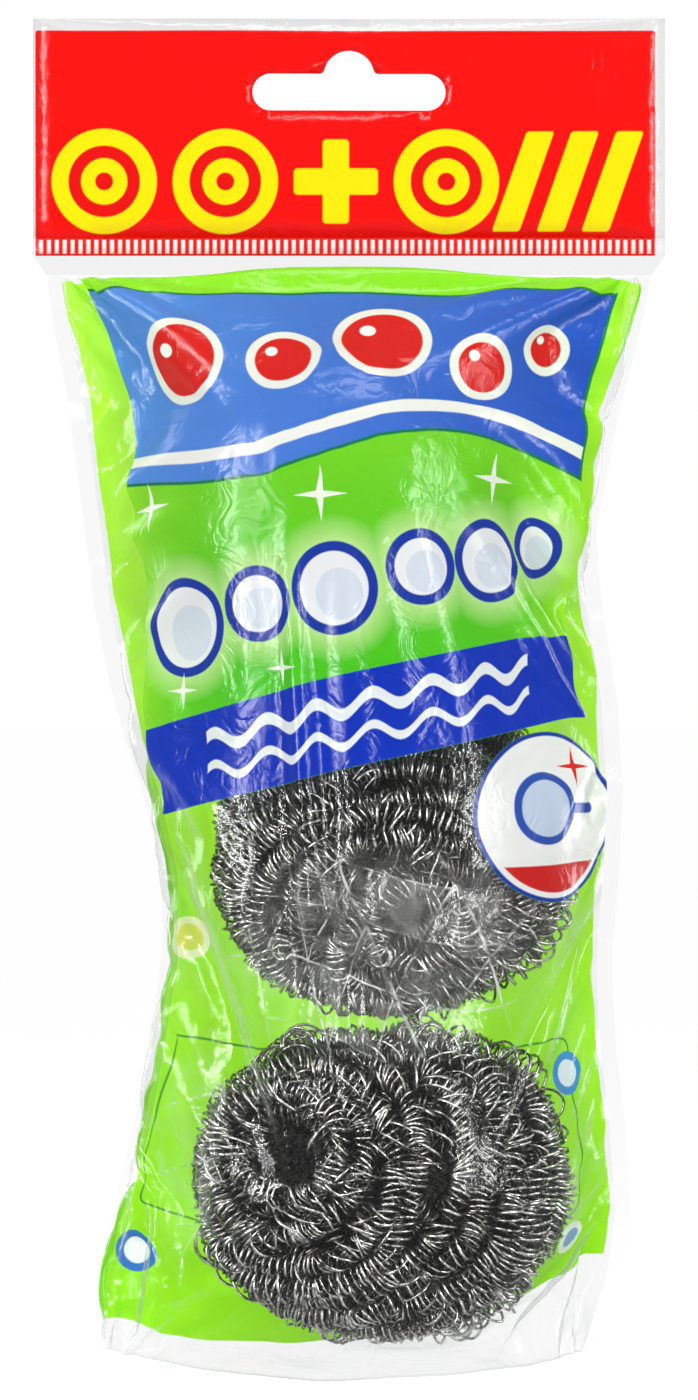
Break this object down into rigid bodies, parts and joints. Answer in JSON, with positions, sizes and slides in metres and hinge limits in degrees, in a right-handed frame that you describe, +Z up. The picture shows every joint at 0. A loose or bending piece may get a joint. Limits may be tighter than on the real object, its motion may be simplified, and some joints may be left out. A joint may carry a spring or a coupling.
{
  "type": "hanging pack of pot scrubbers",
  "caption": "Printed film hang pack: slotted header, ribbed seal and welded bag holding a stack of spiral steel wire pot scrubbers.",
  "frame": {"origin": "middle of the hang slot in the header, half way through the two plies", "axes": "+Z up along the pack, +Y towards the back of the pack, +X to the right seen from the printed front"},
  "size_m": [0.12, 0.0514, 0.2597],
  "materials": {
    "red_film": "glossy printed film",
    "seal_film": "ribbed heat seal, red print with pale ribs",
    "clear_film": "clear glossy film",
    "front_film": "glossy film, green print over a clear window",
    "back_film": "glossy film, lime green print",
    "dark_steel": "shaded inside of the coiled strand",
    "steel": "bright rolled steel wire"
  },
  "bodies": {
    "header": {"header_front_ply": "red_film", "header_back_ply": "red_film", "header_seal": "seal_film"},
    "bag": {"neck_strip": "clear_film", "bag_front_film": "front_film", "bag_back_film": "back_film", "left_side_weld": "clear_film", "right_side_weld": "clear_film", "bottom_fold": "clear_film"},
    "bottom_scrubber": {"bottom_scrubber_core": "dark_steel", "bottom_scrubber_winding": "steel", "bottom_scrubber_rosette": "steel"},
    "middle_scrubber": {"middle_scrubber_core": "dark_steel", "middle_scrubber_winding": "steel", "middle_scrubber_rosette": "steel"},
    "top_scrubber": {"top_scrubber_core": "dark_steel", "top_scrubber_winding": "steel", "top_scrubber_rosette": "steel"}
  },
  "joints": [
    {"name": "bag_swing", "type": "hinge", "parent": "header", "child": "bag", "pos_m": [0, 0, -0.0318], "axis": [-1, 0, 0], "range_deg": [-45, 90]},
    {"name": "bottom_lift", "type": "slide", "parent": "bag", "child": "bottom_scrubber", "axis": [0, 0, 1], "range_m": [0, 0.003]},
    {"name": "middle_lift", "type": "slide", "parent": "bottom_scrubber", "child": "middle_scrubber", "axis": [0, 0, 1], "range_m": [0, 0.003]},
    {"name": "top_lift", "type": "slide", "parent": "middle_scrubber", "child": "top_scrubber", "axis": [0, 0, 1], "range_m": [0, 0.003]}
  ]
}
